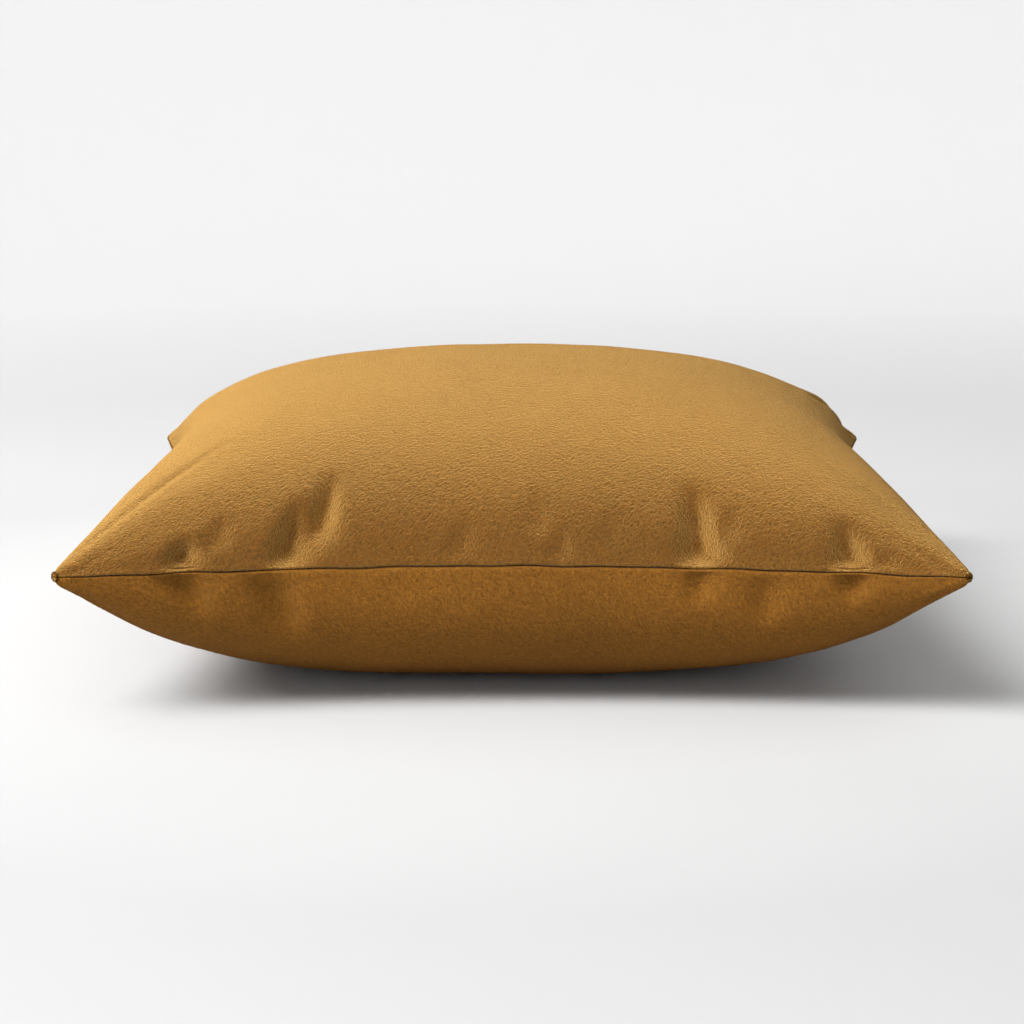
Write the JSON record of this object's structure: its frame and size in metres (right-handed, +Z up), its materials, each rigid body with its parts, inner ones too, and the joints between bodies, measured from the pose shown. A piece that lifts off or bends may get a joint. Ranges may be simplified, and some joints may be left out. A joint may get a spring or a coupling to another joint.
{
  "type": "throw pillow",
  "caption": "Square knife-edge throw pillow with a velvet cover, closed by a concealed zipper along one edge, round a soft stuffed insert.",
  "frame": {"origin": "on the surface that the pillow lies on, below the middle of its outline", "axes": "+Z up through the crown, across the thinnest way; +X along the zipper edge; the zipper is on the +Y edge"},
  "size_m": [0.4302, 0.43, 0.153],
  "materials": {
    "velvet": "short-pile ochre velvet, soft sheen, matt from the front",
    "cover_thread": "polyester thread dyed to match the cover",
    "zipper_tape": "woven polyester tape dyed to match the cover",
    "zipper_coil": "nylon coil dyed to match the tape",
    "zipper_metal": "enamelled zinc, dyed to match, semi-gloss",
    "casing": "plain off-white spunbonded cloth, matt",
    "casing_thread": "white polyester thread",
    "fill": "white siliconised hollow fibre, loose and fluffy",
    "label": "blank off-white woven tape"
  },
  "bodies": {
    "pillow": {"cover_top_panel": "velvet", "cover_bottom_panel": "velvet", "cover_seam_thread": "cover_thread", "overlock_thread_top": "cover_thread", "overlock_thread_bottom": "cover_thread", "zipper_tape_top": "zipper_tape", "zipper_tape_bottom": "zipper_tape", "tape_thread_top": "cover_thread", "tape_thread_bottom": "cover_thread", "zipper_coil_top": "zipper_coil", "zipper_coil_bottom": "zipper_coil", "zipper_top_stops": "zipper_metal", "zipper_bottom_stop": "zipper_metal", "insert_casing_top": "casing", "insert_casing_bottom": "casing", "insert_seam_thread": "casing_thread", "insert_closing_thread": "casing_thread", "fibre_fill": "fill", "care_label": "label", "insert_label": "label"},
    "slider": {"zipper_slider": "zipper_metal"},
    "tab": {"pull_tab": "zipper_metal"}
  },
  "joints": [
    {"name": "zipper_slide", "type": "hinge", "parent": "pillow", "child": "slider", "pos_m": [0, 1.071, 0.074], "axis": [0, 0, 1], "range_deg": [0, 21.44]},
    {"name": "tab_swing", "type": "hinge", "parent": "slider", "child": "tab", "pos_m": [-0.16331, 0.20852, 0.074], "axis": [0.9825, -0.186, 0], "range_deg": [0, 180]}
  ]
}
